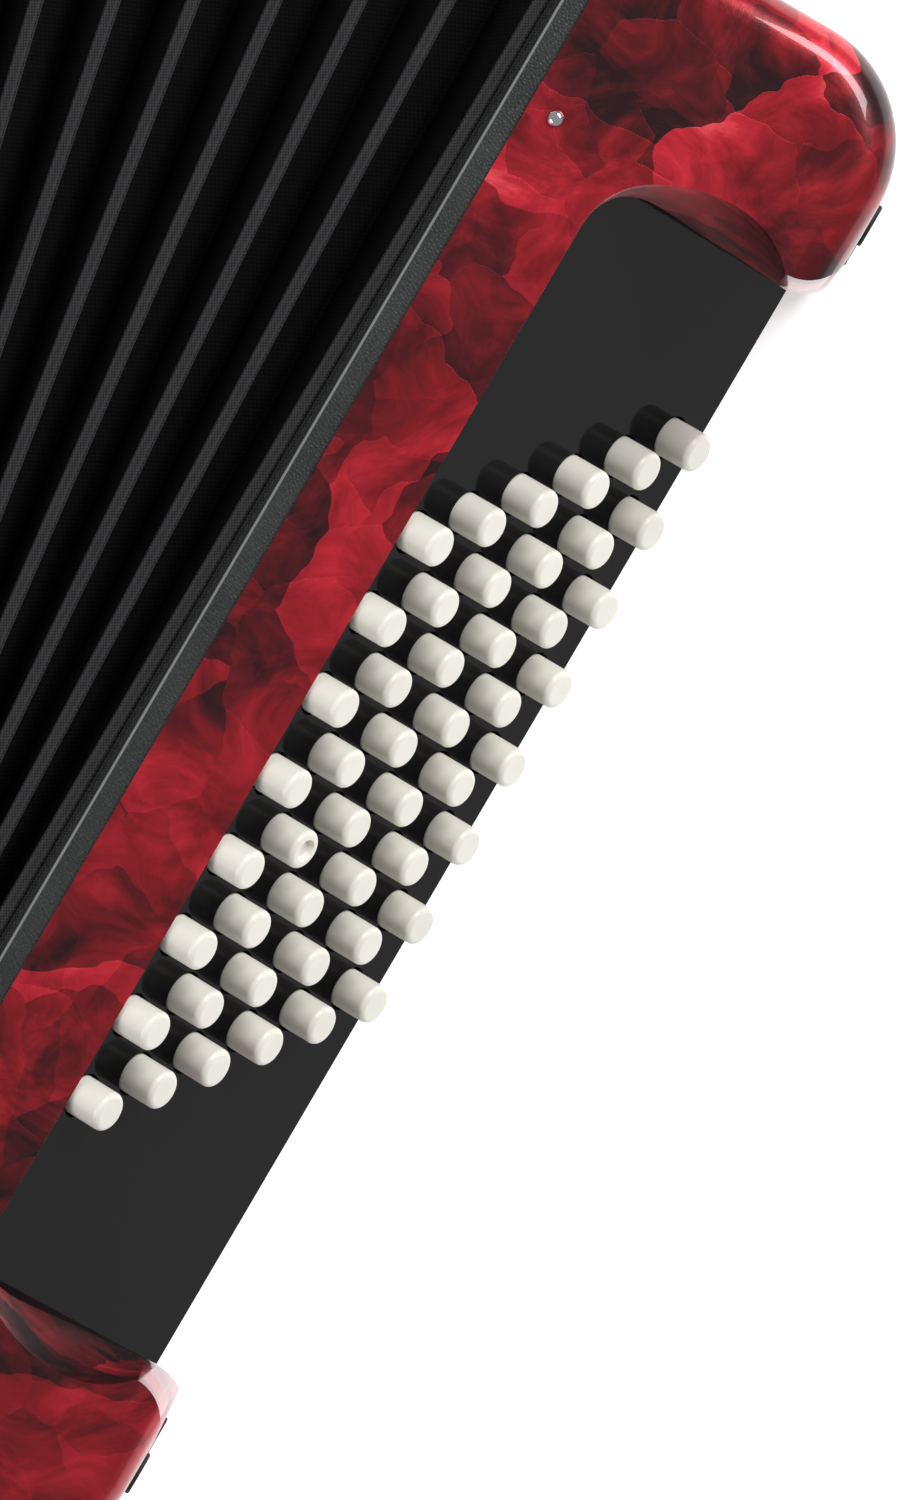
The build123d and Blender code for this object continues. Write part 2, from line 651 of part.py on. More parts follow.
FOOT_Y = 140.6
FOOT_R = 4.5
FOOT_PROUD = 0.9
with BuildPart() as bass_feet:
    with BuildSketch(Plane.YZ.offset(BASS_WIDTH)):
        with Locations(*[(y, z) for y in (-FOOT_Y, FOOT_Y) for z in (26, CASE_DEPTH - 26)]):
            Circle(FOOT_R)
    extrude(amount=FOOT_PROUD)
    fillet(bass_feet.edges().group_by(Axis.X)[-1], FOOT_PROUD * 0.6)
save(bass_feet.part, "bass_feet", BASS)

with BuildPart() as bass_screws:
    for y, z in COVER_SCREWS:
        face = COVER_LINE[2][0] + (COVER_LINE[1][0] - COVER_LINE[2][0]) * z / COVER_LINE[1][1]
        with BuildSketch(Plane.YZ.offset(face + 0.3)):
            with Locations((y, z)):
                Circle(2.6)
        extrude(amount=1.0)
        with BuildSketch(Plane.YZ.offset(face + 0.3)):
            with Locations((y, z)):
                Circle(1.3)
        extrude(amount=-8)
save(bass_screws.part, "bass_screws", BASS)


# ---- Treble casing: a box whose front and outer side are open above the keybed, for the grille ----
TREBLE_FRONT_ROUND = 18.0
WINDOW_Y = 138.0
WINDOW_X = -14.0
WINDOW_Z = 106.0
GRILLE_THICK = 2.0
ARM_SLOT_LOW, ARM_SLOT_HIGH = 83.0, 103.5


def treble_profile(inset, x_face, x_window, z_window):
    """The casing's section, closed: the front-outer corner is a large round. A grille uses its window part."""
    with BuildLine() as line:
        outer, front = -TREBLE_WIDTH + inset, CASE_DEPTH - inset
        round_r = TREBLE_FRONT_ROUND - inset
        Line((x_face, front), (outer + round_r, front))
        RadiusArc((outer + round_r, front), (outer, front - round_r), -round_r)
        Line((outer, front - round_r), (outer, z_window))
        Polyline((outer, z_window), (x_window, z_window), (x_face, front))
    return line.line


with BuildPart() as treble_case:
    with BuildSketch(Plane.XZ) as section:
        with Locations((-TREBLE_WIDTH / 2, MID_Z)):
            Rectangle(TREBLE_WIDTH, CASE_DEPTH)
        outer_corners = section.vertices().group_by(Axis.X)[0].sort_by(Axis.Y)
        fillet(outer_corners[0], RIM_ROUND + 2)
        fillet(section.vertices().sort_by(lambda v: v.Y - v.X)[-1], TREBLE_FRONT_ROUND)
    extrude(amount=HALF_LENGTH, both=True)
    rims = treble_case.edges().group_by(Axis.Y)[0] + treble_case.edges().group_by(Axis.Y)[-1]
    fillet([edge for edge in rims if edge.center().X < -1], RIM_ROUND)
    with BuildSketch(Plane.YZ):
        with Locations((0, MID_Z)):
            Rectangle(CASE_LENGTH - 2 * WALL, CASE_DEPTH - 2 * WALL)
    extrude(amount=-TREBLE_WIDTH + TREBLE_FRONT_ROUND, mode=Mode.SUBTRACT)
    with BuildSketch(Plane.YZ):
        with Locations((0, (WINDOW_Z + WALL) / 2)):
            Rectangle(CASE_LENGTH - 2 * WALL - 10, WINDOW_Z - WALL)
    extrude(amount=-TREBLE_WIDTH + WALL, mode=Mode.SUBTRACT)
    with BuildSketch(Plane.XZ):
        with Locations(((-TREBLE_WIDTH + WINDOW_X) / 2 - 5, (WINDOW_Z + CASE_DEPTH) / 2 + 5)):
            Rectangle(TREBLE_WIDTH + WINDOW_X + 10, CASE_DEPTH - WINDOW_Z + 10)
    extrude(amount=WINDOW_Y, both=True, mode=Mode.SUBTRACT)
    with BuildSketch(Plane.YZ.offset(-TREBLE_WIDTH - 1)):
        with Locations((0, (ARM_SLOT_LOW + ARM_SLOT_HIGH) / 2)):
            Rectangle(KEYBED_LENGTH - 20, ARM_SLOT_HIGH - ARM_SLOT_LOW)
    extrude(amount=WALL + 2, mode=Mode.SUBTRACT)
    add(pin_holes(-1), mode=Mode.SUBTRACT)
save(treble_case.part, "treble_case")

SWITCHES = 3
SWITCH_PITCH = 44.0
SWITCH_LONG = 30.0
SWITCH_WIDE = 12.0
SWITCH_X = -54.0
SWITCH_LOW = 166.2
SWITCH_HIGH = 171.5
SLOT_COLUMNS = 5
GRILLE_SCREWS = [(x, y) for x in (-19, -57) for y in (-132, 132)]

with BuildPart() as treble_grille:
    with BuildSketch(Plane.XZ):
        with BuildLine():
            add(treble_profile(0.2, WINDOW_X - 0.3, -TREBLE_WIDTH + 8, WINDOW_Z + 0.3))
        make_face()
        with BuildLine():
            add(treble_profile(0.2 + GRILLE_THICK, WINDOW_X + 10, -TREBLE_WIDTH + 20, WINDOW_Z - 10))
        make_face(mode=Mode.SUBTRACT)
    extrude(amount=WINDOW_Y - CLEAR, both=True)
    # Long sound slots on the front and on the outer side.
    with BuildSketch(Plane.XY.offset(CASE_DEPTH - 5)):
        with Locations((-22, 0), (-30, 0), (-38, 0)):
            with GridLocations(1, 50, 1, SLOT_COLUMNS):
                SlotOverall(40, 4, rotation=90)
        with Locations((SWITCH_X, 0)):
            with GridLocations(1, SWITCH_PITCH, 1, SWITCHES):
                Rectangle(SWITCH_WIDE + 1, SWITCH_LONG + 1)
        with Locations(*GRILLE_SCREWS):
            Circle(1.5)
    extrude(amount=10, mode=Mode.SUBTRACT)
    with BuildSketch(Plane.YZ.offset(-TREBLE_WIDTH - 1)):
        with Locations((0, 118), (0, 127), (0, 136), (0, 145)):
            with GridLocations(50, 1, SLOT_COLUMNS, 1):
                SlotOverall(40, 4)
    extrude(amount=8, mode=Mode.SUBTRACT)
save(treble_grille.part, "treble_grille")

CLOTH_THICK = 0.6
with BuildPart() as grille_cloth:
    with BuildSketch(Plane.XY.offset(CASE_DEPTH - 0.3 - GRILLE_THICK - CLOTH_THICK)):
        with Locations((-30, 0)):
            Rectangle(25, 2 * WINDOW_Y - 12)
        with Locations(*GRILLE_SCREWS):
            Circle(2.2, mode=Mode.SUBTRACT)
    extrude(amount=CLOTH_THICK)
    with BuildSketch(Plane.YZ.offset(-TREBLE_WIDTH + 0.3 + GRILLE_THICK)):
        with Locations((0, 131)):
            Rectangle(2 * WINDOW_Y - 12, 36)
    extrude(amount=CLOTH_THICK)
save(grille_cloth.part, "grille_cloth")

with BuildPart() as treble_screws:
    with BuildSketch(Plane.XY.offset(CASE_DEPTH)):
        with Locations(*GRILLE_SCREWS):
            Circle(2.8)
    extrude(amount=1.2)
    fillet(treble_screws.edges().group_by(Axis.Z)[-1], 0.8)
    with BuildSketch(Plane.XY.offset(CASE_DEPTH)):
        with Locations(*GRILLE_SCREWS):
            Circle(1.3)
    extrude(amount=-7)
save(treble_screws.part, "treble_screws")

for number in range(SWITCHES):
    with BuildPart() as switch:
        with BuildSketch(Plane.XY.offset(SWITCH_LOW)):
            with Locations((SWITCH_X, (number - (SWITCHES - 1) / 2) * SWITCH_PITCH)):
                Rectangle(SWITCH_WIDE, SWITCH_LONG)
        extrude(amount=SWITCH_HIGH - SWITCH_LOW)
        fillet(switch.edges().group_by(Axis.Z)[-1], 1.6)
    save(switch.part, f"register_switch_{number + 1}")

# ---- Keybed, treble buttons and their levers ----
KEYBED_ROUND = 7.0
KEYBED_TOP_THICK = 2.5
FIRST_TREBLE_ROW = -97.0
TREBLE_COLUMNS = (15, 14, 15)
LEVER_PIVOT = (-52.0, 98.0)
LEVER_SHAFT_R = 1.5
ARM_THICK = 2.0
ARM_SIDE = (-4.0, 0.0, 4.0)
PALLET_SIDE = (0.0, 1.0, 0.0)
PALLET_Z = (116.0, 130.0, 144.0)
BUTTON_FOOT_Z = 97.0
ARM_LOW_Z, ARM_HIGH_Z = 85.5, 91.0


def treble_row(row):
    """(x, [y, ...]) of one row's buttons. The middle row sits between the other two."""
    count = TREBLE_COLUMNS[row]
    first = -TREBLE_PITCH * (count - 1) / 2
    return FIRST_TREBLE_ROW - row * TREBLE_ROW_PITCH, [first + i * TREBLE_PITCH for i in range(count)]


with BuildPart() as treble_keybed:
    with BuildSketch(Plane.XZ) as section:
        with Locations((-TREBLE_WIDTH - KEYBED_WIDTH / 2 - 0.1, (KEYBED_TOP + KEYBED_BOTTOM) / 2)):
            Rectangle(KEYBED_WIDTH - 0.2, KEYBED_TOP - KEYBED_BOTTOM)
        fillet(section.vertices().group_by(Axis.X)[0], KEYBED_ROUND)
    extrude(amount=KEYBED_LENGTH / 2, both=True)
    ends = treble_keybed.edges().group_by(Axis.Y)[0] + treble_keybed.edges().group_by(Axis.Y)[-1]
    fillet([edge for edge in ends if edge.center().X < -TREBLE_WIDTH - 1], 4)
    with BuildSketch(Plane.XY.offset(KEYBED_BOTTOM + 5)):
        with Locations((-TREBLE_WIDTH - KEYBED_WIDTH / 2 + 2.5, 0)):
            Rectangle(KEYBED_WIDTH - 4.8, KEYBED_LENGTH - 12)
    extrude(amount=KEYBED_TOP - KEYBED_BOTTOM - 5 - KEYBED_TOP_THICK, mode=Mode.SUBTRACT)
    for row in range(TREBLE_ROWS):
        x, ys = treble_row(row)
        with BuildSketch(Plane.XY.offset(KEYBED_TOP - 5)):
            with Locations(*[(x, y) for y in ys]):
                Circle(TREBLE_HOLE_R)
        extrude(amount=10, mode=Mode.SUBTRACT)
save(treble_keybed.part, "treble_keybed")


def treble_buttons(row):
    """One row of round buttons, each with the short stem that joins it to its lever."""
    x, ys = treble_row(row)
    with BuildPart() as buttons:
        with BuildSketch(Plane.XY.offset(BUTTON_FOOT_Z)):
            with Locations(*[(x, y) for y in ys]):
                Circle(TREBLE_BUTTON_R)
        extrude(amount=KEYBED_TOP + TREBLE_BUTTON_PROUD - BUTTON_FOOT_Z)
        fillet(buttons.edges().group_by(Axis.Z)[-1], 1.6)
        with BuildSketch(Plane.XY.offset(ARM_HIGH_Z + 0.02)):
            with Locations(*[(x, y + ARM_SIDE[row]) for y in ys]):
                Circle(1.8)
        extrude(amount=BUTTON_FOOT_Z - ARM_HIGH_Z - 0.02)
    return buttons.part


def treble_levers(row):
    """One row of cranked levers: an arm out to the button, a boss on the shaft, and an arm up to the pallet."""
    x, ys = treble_row(row)
    px, pz = LEVER_PIVOT
    pallet_z = PALLET_Z[row]
    board_x = TREBLE_BOARD_X - 0.1
    levers = []
    for y in ys:
        with BuildPart() as lever:
            with BuildSketch(Plane.XZ.offset(-y - ARM_SIDE[row] - ARM_THICK / 2)):
                with BuildLine():
                    Polyline(
                        (px - 3, pz + 4),
                        (px - 3, pallet_z + 3),
                        (px + 3, pallet_z + 3),
                        (px + 3, pz - 4),
                        (px - 8, pz - 5),
                        (px - 20, ARM_LOW_Z),
                        (x - 3, ARM_LOW_Z),
                        (x - 3, ARM_HIGH_Z),
                        (px - 20, ARM_HIGH_Z),
                        (px - 3, pz + 4),
                    )
                make_face()
                with Locations(LEVER_PIVOT):
                    Circle(LEVER_SHAFT_R + 0.05, mode=Mode.SUBTRACT)
            extrude(amount=ARM_THICK)
            with BuildSketch(Plane.YZ.offset(px + 2.9)):
                with Locations((y + ARM_SIDE[row] + PALLET_SIDE[row], pallet_z)):
                    Rectangle(7, 12)
            extrude(amount=board_x - px - 2.9)
        levers.append(lever.part)
    return together(levers)


TREBLE_BOARD_X = -43.0
TREBLE_BOARD_THICK = 4.0
for row in range(TREBLE_ROWS):
    save(treble_buttons(row), f"treble_buttons_row_{row + 1}")
    save(treble_levers(row), f"treble_levers_row_{row + 1}")

with BuildPart() as treble_lever_shaft:
    with BuildSketch(Plane.XZ.offset(-(KEYBED_LENGTH - 24) / 2)):
        with Locations(LEVER_PIVOT):
            Circle(LEVER_SHAFT_R)
    extrude(amount=KEYBED_LENGTH - 24)
    for end in (-1, 1):
        with BuildSketch(Plane.XZ.offset(end * (KEYBED_LENGTH / 2 - 13))):
            with Locations((LEVER_PIVOT[0] + 4, LEVER_PIVOT[1])):
                Rectangle(10, 9)
        extrude(amount=-end * 3)
save(treble_lever_shaft.part, "treble_lever_shaft")

with BuildPart() as treble_soundboard:
    with BuildSketch(Plane.YZ.offset(TREBLE_BOARD_X)):
        with Locations((0, MID_Z)):
            Rectangle(CASE_LENGTH - 2 * WALL - 0.4, CASE_DEPTH - 2 * WALL - 0.4)
        for row in range(TREBLE_ROWS):
            x, ys = treble_row(row)
            with Locations(*[(y + ARM_SIDE[row] + PALLET_SIDE[row], PALLET_Z[row]) for y in ys]):
                Rectangle(6, 9, mode=Mode.SUBTRACT)
    extrude(amount=TREBLE_BOARD_THICK)
save(treble_soundboard.part, "treble_soundboard")

treble_blocks = (TREBLE_BOARD_X + TREBLE_BOARD_THICK, -3.0, PALLET_Z, 274, 10, 15)
save(reed_blocks(*treble_blocks), "treble_reed_blocks")
save(reed_plates(*treble_blocks), "treble_reed_plates")

# ---- Shoulder strap eyes and treble feet ----
EYE_X, EYE_Z = -30.0, 22.0
EYE_HOLE_R = 3.0
EYE_THICK = 3.0
EYE_OUT = 6.0


def strap_eye(end):
    """A plate screwed to one end of the treble casing, with an eye for a shoulder strap."""
    eye_y = end * (HALF_LENGTH + EYE_REACH - EYE_OUT)
    with BuildPart() as eye:
        with BuildSketch(Plane.XZ.offset(-end * HALF_LENGTH)):
            with Locations((EYE_X, EYE_Z)):
                RectangleRounded(26, 14, 4)
        extrude(amount=-end * 2)
        with BuildSketch(Plane.YZ.offset(EYE_X - EYE_THICK / 2)):
            with Locations((eye_y, EYE_Z)):
                Circle(EYE_OUT)
            with Locations((eye_y - end * EYE_OUT / 2, EYE_Z)):
                Rectangle(EYE_OUT - 0.5, 2 * EYE_OUT)
            with Locations((eye_y, EYE_Z)):
                Circle(EYE_HOLE_R, mode=Mode.SUBTRACT)
        extrude(amount=EYE_THICK)
    return eye.part


save(together([strap_eye(-1), strap_eye(1)]), "shoulder_strap_eyes")

with BuildPart() as treble_feet:
    with BuildSketch(Plane.XZ.offset(HALF_LENGTH)):
        with Locations(*[(x, z) for x in (-16, -60) for z in (46, CASE_DEPTH - 26)]):
            Circle(FOOT_R)
    extrude(amount=3.0)
    fillet(treble_feet.edges().group_by(Axis.Y)[0], 1.2)
save(treble_feet.part, "treble_feet")
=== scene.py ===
import json
from math import cos, sin, radians, pi, sqrt

import bmesh
import bpy
from mathutils import Matrix, Vector


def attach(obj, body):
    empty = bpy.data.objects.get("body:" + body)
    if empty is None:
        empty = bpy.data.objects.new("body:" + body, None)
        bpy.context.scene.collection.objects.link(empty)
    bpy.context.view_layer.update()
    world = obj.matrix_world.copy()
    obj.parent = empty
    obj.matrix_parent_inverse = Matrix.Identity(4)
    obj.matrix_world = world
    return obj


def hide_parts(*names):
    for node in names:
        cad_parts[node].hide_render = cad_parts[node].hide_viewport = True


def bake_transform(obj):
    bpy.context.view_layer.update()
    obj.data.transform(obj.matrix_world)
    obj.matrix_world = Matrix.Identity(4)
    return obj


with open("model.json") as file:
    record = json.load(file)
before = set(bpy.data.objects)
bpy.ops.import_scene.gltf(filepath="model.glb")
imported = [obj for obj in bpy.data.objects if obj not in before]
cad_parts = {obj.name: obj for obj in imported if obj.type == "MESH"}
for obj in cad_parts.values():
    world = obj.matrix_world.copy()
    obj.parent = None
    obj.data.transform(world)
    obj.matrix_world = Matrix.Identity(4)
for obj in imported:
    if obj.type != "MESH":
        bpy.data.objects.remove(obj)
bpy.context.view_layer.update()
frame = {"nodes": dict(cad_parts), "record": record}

MM = 0.001

# ---- Sizes that the part has too, in millimetres ----
FAN = 30.4
FOLDS = 14
FOLD_STEP = FAN / (FOLDS - 1)
HALF_PITCH = 1.55
RIDGE_TO_CASE = 8.3
LENGTH, DEPTH = 327.6, 158.0
CASE_LENGTH, CASE_DEPTH = 337.6, 168.0
MID_Z = CASE_DEPTH / 2
BELLOWS_CORNER = 6
FOLD_NAMES = ["treble"] + [f"fold_{k:02d}" for k in range(2, 14)] + ["bass"]


def place(origin, angle, out, along, z):
    """A point in a frame turned clockwise by angle, in metres in the shared frame."""
    a = radians(angle)
    return Vector((
        (origin[0] + out * cos(a) + along * sin(a)) * MM,
        (origin[1] - out * sin(a) + along * cos(a)) * MM,
        z * MM,
    ))


fan_joints = sorted(
    (j for j in frame["record"]["behaviour"]["joints"] if j["name"].startswith("bellows_fan")),
    key=lambda j: j["name"],
)
HINGES = [(j["pos_m"][0] / MM, j["pos_m"][1] / MM) for j in fan_joints]


def fold_frame(k):
    """Foot of the ridge of fold k, counted from 0, and its angle."""
    hinge, side = (HINGES[k], -1) if k < FOLDS - 1 else (HINGES[-1], 1)
    angle = k * FOLD_STEP if k < FOLDS - 1 else FAN
    a = radians(angle)
    return (hinge[0] + side * HALF_PITCH * cos(a), hinge[1] - side * HALF_PITCH * sin(a)), angle


def face_middle(k, side):
    """Middle of the casing's face beyond fold k, the first or the last."""
    foot, angle = fold_frame(k)
    point = place(foot, angle, side * RIDGE_TO_CASE, LENGTH / 2, 0)
    return point.x / MM, point.y / MM


TREBLE_FACE = face_middle(0, -1)
BASS_FACE = face_middle(FOLDS - 1, 1)


def treble(out, along, z):
    return place(TREBLE_FACE, 0, out, along, z)


def bass(out, along, z):
    return place(BASS_FACE, FAN, out, along, z)


def on_fold(k, out, along, z):
    """along is measured from the middle of the bellows."""
    foot, angle = fold_frame(k)
    return place(foot, angle, out, along + LENGTH / 2, z)


# ---- Materials ----
class Nodes:
    def __init__(self, name):
        self.mat = bpy.data.materials.new(name)
        self.mat.use_nodes = True
        self.tree = self.mat.node_tree
        self.bsdf = self.tree.nodes["Principled BSDF"]
        self.coords = self.tree.nodes.new("ShaderNodeTexCoord").outputs["Object"]

    def add(self, kind, **props):
        node = self.tree.nodes.new(kind)
        for key, value in props.items():
            setattr(node, key, value)
        return node

    def link(self, a, b):
        self.tree.links.new(a, b)

    def noise(self, scale, detail=4.0, rough=0.5, warp=0.0, coords=None):
        node = self.add("ShaderNodeTexNoise")
        node.inputs["Scale"].default_value = scale
        node.inputs["Detail"].default_value = detail
        node.inputs["Roughness"].default_value = rough
        node.inputs["Distortion"].default_value = warp
        self.link(coords or self.coords, node.inputs["Vector"])
        return node

    def stretched(self, x, y, z):
        node = self.add("ShaderNodeMapping")
        node.inputs["Scale"].default_value = (x, y, z)
        self.link(self.coords, node.inputs["Vector"])
        return node.outputs[0]

    def ramp(self, source, stops):
        node = self.add("ShaderNodeValToRGB")
        ramp = node.color_ramp
        while len(ramp.elements) < len(stops):
            ramp.elements.new(0.5)
        for element, (at, colour) in zip(ramp.elements, stops):
            element.position = at
            element.color = (*colour, 1)
        self.link(source, node.inputs[0])
        self.link(node.outputs[0], self.bsdf.inputs["Base Color"])

    def range(self, source, low, high, target):
        node = self.add("ShaderNodeMapRange")
        node.inputs["To Min"].default_value = low
        node.inputs["To Max"].default_value = high
        self.link(source, node.inputs["Value"])
        self.link(node.outputs[0], self.bsdf.inputs[target])

    def bump(self, height, strength, distance):
        node = self.add("ShaderNodeBump")
        node.inputs["Strength"].default_value = strength
        node.inputs["Distance"].default_value = distance
        self.link(height, node.inputs["Height"])
        self.link(node.outputs[0], self.bsdf.inputs["Normal"])

    def sets(self, **values):
        for name, value in values.items():
            self.bsdf.inputs[name.replace("_", " ")].default_value = value


def pearloid():
    """Red celluloid with crumpled pearl under a clear gloss: flat facets, each shaded its own way."""
    m = Nodes("red_pearloid")
    wander = m.noise(22, 4, 0.6)
    push = m.add("ShaderNodeVectorMath", operation="SCALE")
    push.inputs["Scale"].default_value = 0.022
    m.link(wander.outputs["Color"], push.inputs[0])
    moved = m.add("ShaderNodeVectorMath", operation="ADD")
    m.link(m.coords, moved.inputs[0])
    m.link(push.outputs[0], moved.inputs[1])

    def facets(scale, slant):
        cell = m.add("ShaderNodeTexVoronoi", feature="F1")
        cell.inputs["Scale"].default_value = scale
        m.link(moved.outputs[0], cell.inputs["Vector"])
        away = m.add("ShaderNodeVectorMath", operation="SUBTRACT")
        m.link(moved.outputs[0], away.inputs[0])
        m.link(cell.outputs["Position"], away.inputs[1])
        way = m.add("ShaderNodeVectorMath", operation="SUBTRACT")
        m.link(cell.outputs["Color"], way.inputs[0])
        way.inputs[1].default_value = (0.5, 0.5, 0.5)
        dot = m.add("ShaderNodeVectorMath", operation="DOT_PRODUCT")
        m.link(away.outputs[0], dot.inputs[0])
        m.link(way.outputs[0], dot.inputs[1])
        out = m.add("ShaderNodeMath", operation="MULTIPLY")
        out.inputs[1].default_value = scale * slant
        m.link(dot.outputs["Value"], out.inputs[0])
        return out.outputs[0]

    broad, small = facets(26, 0.85), facets(66, 0.36)
    both = m.add("ShaderNodeMath", operation="ADD")
    m.link(broad, both.inputs[0])
    m.link(small, both.inputs[1])
    streaks = m.noise(48, 6, 0.62, 1.8)
    tone = m.add("ShaderNodeMath", operation="ADD")
    m.link(both.outputs[0], tone.inputs[0])
    m.link(streaks.outputs["Fac"], tone.inputs[1])
    m.ramp(tone.outputs[0], [
        (0.16, (0.022, 0.001, 0.002)), (0.34, (0.12, 0.002, 0.006)), (0.50, (0.27, 0.004, 0.010)),
        (0.64, (0.42, 0.008, 0.020)), (0.80, (0.62, 0.016, 0.032)), (0.95, (0.88, 0.07, 0.09)),
    ])
    m.range(streaks.outputs["Fac"], 0.22, 0.46, "Roughness")
    m.bump(tone.outputs[0], 0.22, 0.0008)
    m.sets(Metallic=0.55, Coat_Weight=0.5, Coat_Roughness=0.04)
    return m.mat


def gloss(name, colour, rough, coat=0.0, ior=1.45):
    """Moulded or lacquered plastic with a very faint unevenness."""
    m = Nodes(name)
    cloud = m.noise(60, 3)
    m.ramp(cloud.outputs["Fac"], [(0.3, [c * 0.92 for c in colour]), (0.7, colour)])
    m.range(m.noise(220, 4).outputs["Fac"], max(rough - 0.04, 0.02), rough + 0.04, "Roughness")
    m.bump(m.noise(900, 2).outputs["Fac"], 0.04, 0.0001)
    m.sets(Coat_Weight=coat, IOR=ior, Specular_IOR_Level=0.5)
    return m.mat


def metal(name, colour, rough, brushed=False):
    m = Nodes(name)
    coords = m.stretched(1, 1, 30) if brushed else m.coords
    lines = m.noise(150, 5, 0.6, coords=coords)
    m.ramp(lines.outputs["Fac"], [(0.3, [c * 0.85 for c in colour]), (0.7, colour)])
    m.range(lines.outputs["Fac"], rough * 0.7, rough * 1.4, "Roughness")
    m.bump(lines.outputs["Fac"], 0.12 if brushed else 0.02, 0.0001)
    m.sets(Metallic=1.0)
    return m.mat


def cloth(name, dark, light, thread, sheen=0.3, specular=0.3):
    """Plain weave: two sets of threads crossing, with a slow unevenness."""
    m = Nodes(name)
    waves = []
    for axis in ("X", "Y", "Z"):
        wave = m.add("ShaderNodeTexWave", wave_type="BANDS", bands_direction=axis)
        wave.inputs["Scale"].default_value = pi / thread / 10
        wave.inputs["Distortion"].default_value = 0.6
        m.link(m.coords, wave.inputs["Vector"])
        waves.append(wave.outputs["Fac"])
    both = m.add("ShaderNodeMath", operation="MULTIPLY")
    m.link(waves[0], both.inputs[0])
    m.link(waves[1], both.inputs[1])
    weave = m.add("ShaderNodeMath", operation="MULTIPLY_ADD")
    m.link(waves[2], weave.inputs[0])
    weave.inputs[1].default_value = 0.5
    m.link(both.outputs[0], weave.inputs[2])
    m.ramp(weave.outputs[0], [(0.15, dark), (0.85, light)])
    m.range(m.noise(90, 4).outputs["Fac"], 0.7, 0.9, "Roughness")
    m.bump(weave.outputs[0], 0.6, 0.0002)
    m.sets(Sheen_Weight=sheen, Sheen_Roughness=0.4, Specular_IOR_Level=specular)
    return m.mat


def hide(name, dark, light, pebble, rough, depth=0.0003):
    """Grained leather or leatherette."""
    m = Nodes(name)
    grain = m.add("ShaderNodeTexVoronoi", feature="DISTANCE_TO_EDGE")
    grain.inputs["Scale"].default_value = 1 / pebble
    m.link(m.coords, grain.inputs["Vector"])
    m.ramp(m.noise(70, 4).outputs["Fac"], [(0.3, dark), (0.7, light)])
    m.range(grain.outputs["Distance"], rough + 0.12, rough - 0.08, "Roughness")
    m.bump(grain.outputs["Distance"], 0.45, depth)
    return m.mat


def wood(name, dark, light):
    m = Nodes(name)
    rings = m.noise(60, 6, 0.6, 1.2, coords=m.stretched(6, 0.5, 6))
    m.ramp(rings.outputs["Fac"], [(0.35, dark), (0.65, light)])
    m.range(rings.outputs["Fac"], 0.45, 0.65, "Roughness")
    m.bump(rings.outputs["Fac"], 0.2, 0.0003)
    return m.mat


MATS = {
    "red_pearloid": pearloid(),
    "black_gloss": gloss("black_gloss", (0.004, 0.004, 0.005), 0.06, ior=1.11),
    "ivory_button": gloss("ivory_button", (0.80, 0.77, 0.69), 0.30),
    "white_button": gloss("white_button", (0.82, 0.80, 0.75), 0.22, coat=0.3),
    "bellows_tape": cloth("bellows_tape", (0.005, 0.005, 0.006), (0.034, 0.034, 0.036), 0.00055, 0.06),
    "bellows_card": cloth("bellows_card", (0.0012, 0.0012, 0.0013), (0.0042, 0.0042, 0.0045),
                          0.0008, 0.0, specular=0.12),
    "black_leatherette": hide("black_leatherette", (0.010, 0.012, 0.011), (0.020, 0.023, 0.022),
                              0.0007, 0.32),
    "chrome": metal("chrome", (0.86, 0.86, 0.87), 0.08),
    "steel": metal("steel", (0.56, 0.56, 0.57), 0.28, True),
    "aluminium": metal("aluminium", (0.76, 0.76, 0.77), 0.32, True),
    "spruce": wood("spruce", (0.42, 0.27, 0.13), (0.66, 0.48, 0.28)),
    "leather": hide("leather", (0.010, 0.009, 0.008), (0.026, 0.022, 0.020), 0.0011, 0.42, 0.0005),
    "palm_black": gloss("palm_black", (0.018, 0.018, 0.020), 0.46),
    "rubber": gloss("rubber", (0.016, 0.016, 0.016), 0.75),
    "grille_cloth": cloth("grille_cloth", (0.006, 0.006, 0.006), (0.030, 0.030, 0.032), 0.0010),
    "switch_black": gloss("switch_black", (0.020, 0.020, 0.021), 0.16, coat=0.5),
}
THREAD = cloth("thread", (0.02, 0.02, 0.02), (0.07, 0.07, 0.07), 0.0003, 0.4)
PIPING = gloss("piping", (0.20, 0.205, 0.205), 0.22, coat=0.3)
GUARD = metal("guard_nickel", (0.70, 0.70, 0.71), 0.16)

slots = {s["node"]: s["material_slot"] for s in frame["record"]["subparts"]}
WELD_WITHIN = 0.02 * MM
BEVEL_FROM = radians(48)
SOFT_EDGES = {"bass_case": 1.0, "treble_case": 0.8, "treble_keybed": 0.8, "treble_grille": 0.5,
              "bass_cover": 0.6, "register_switch_1": 0.6, "register_switch_2": 0.6,
              "register_switch_3": 0.6, "bass_bellows_frame": 0.4, "treble_bellows_frame": 0.4}
for name, node in frame["nodes"].items():
    node.data.materials.clear()
    node.data.materials.append(MATS[slots[name]])
    if name in SOFT_EDGES:
        weld = node.modifiers.new("weld", "WELD")
        weld.merge_threshold = WELD_WITHIN
        soft = node.modifiers.new("soft", "BEVEL")
        soft.width = SOFT_EDGES[name] * MM
        soft.segments = 3
        soft.limit_method = "ANGLE"
        soft.angle_limit = BEVEL_FROM


